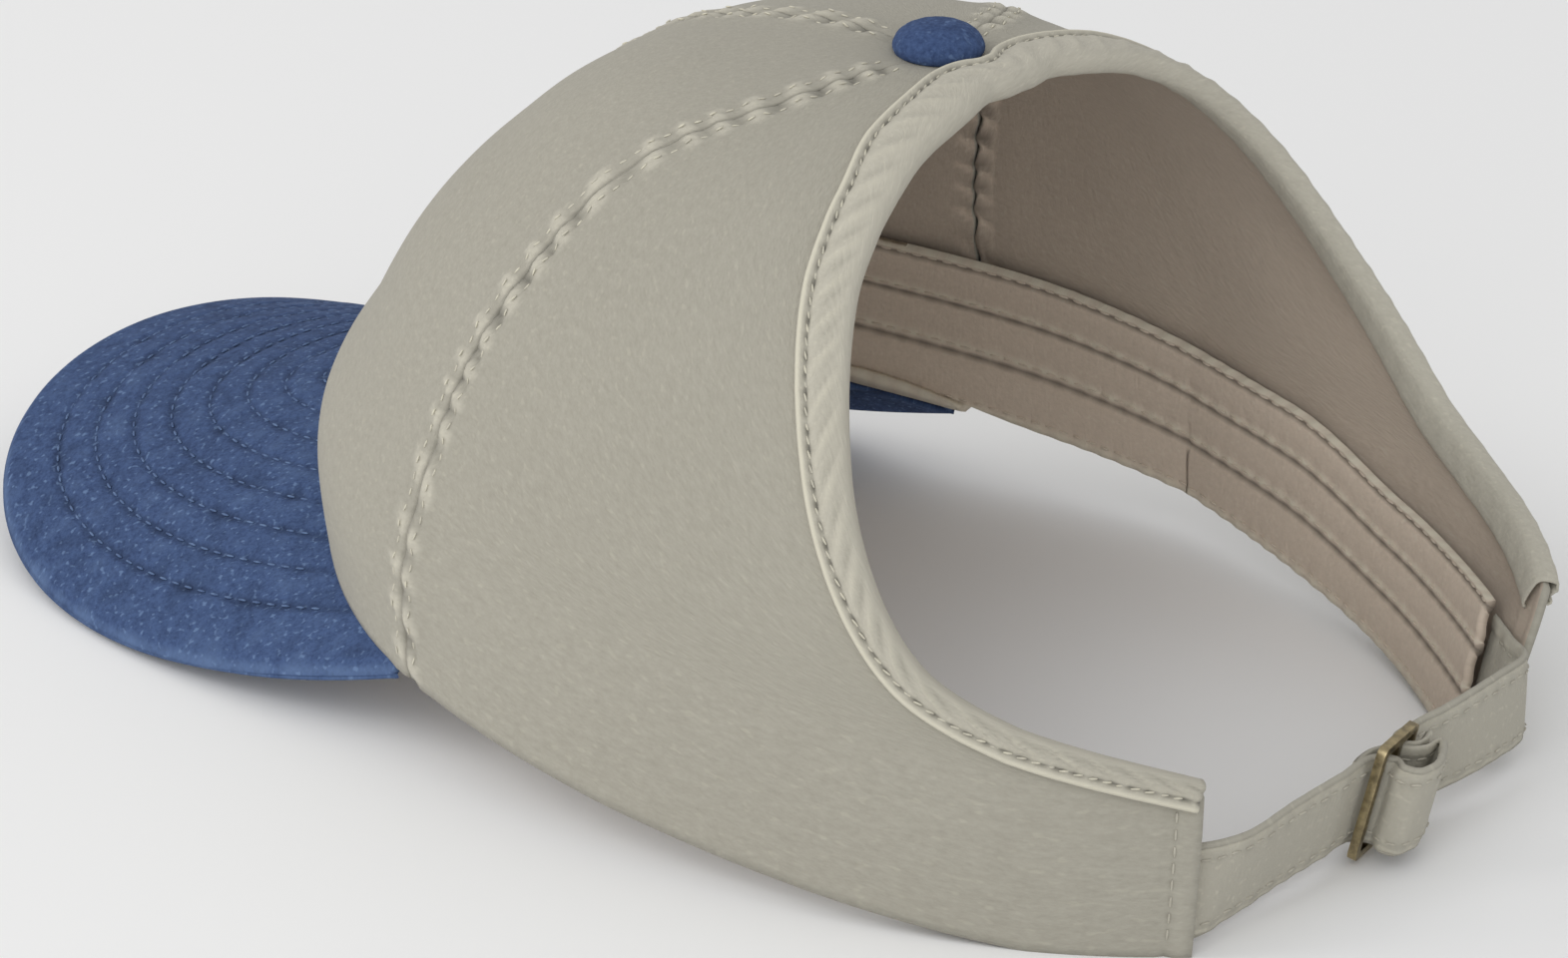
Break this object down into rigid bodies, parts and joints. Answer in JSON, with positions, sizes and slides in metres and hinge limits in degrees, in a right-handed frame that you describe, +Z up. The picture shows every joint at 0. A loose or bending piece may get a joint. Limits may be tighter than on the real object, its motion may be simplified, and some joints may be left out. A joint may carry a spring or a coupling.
{
  "type": "ponytail baseball cap",
  "caption": "Soft baseball cap with a curved visor, an arched ponytail opening bound in tape, and a back strap with a slide buckle.",
  "frame": {"origin": "below the middle of the cap's length and width, on the surface that the cap rests on", "axes": "+Z up, -Y towards the visor, +X towards the wearer's left"},
  "size_m": [0.1562, 0.2644, 0.1094],
  "materials": {
    "cloth": "washed cotton twill, stone",
    "binding_cloth": "washed cotton twill tape, stone",
    "band_cloth": "soft cotton twill, taupe",
    "chambray": "washed chambray, blue",
    "chambray_under": "washed chambray, blue",
    "chambray_button": "washed chambray, blue",
    "strap_cloth": "washed cotton twill, stone",
    "brass": "antique, satin"
  },
  "bodies": {
    "root": {"crown_front_left": "cloth", "crown_front_right": "cloth", "crown_side_left": "cloth", "crown_side_right": "cloth", "opening_binding": "binding_cloth", "sweatband": "band_cloth", "visor_upper": "chambray", "visor_lower": "chambray_under", "top_button": "chambray_button", "strap_left": "strap_cloth", "strap_right": "strap_cloth", "buckle": "brass"}
  },
  "joints": []
}
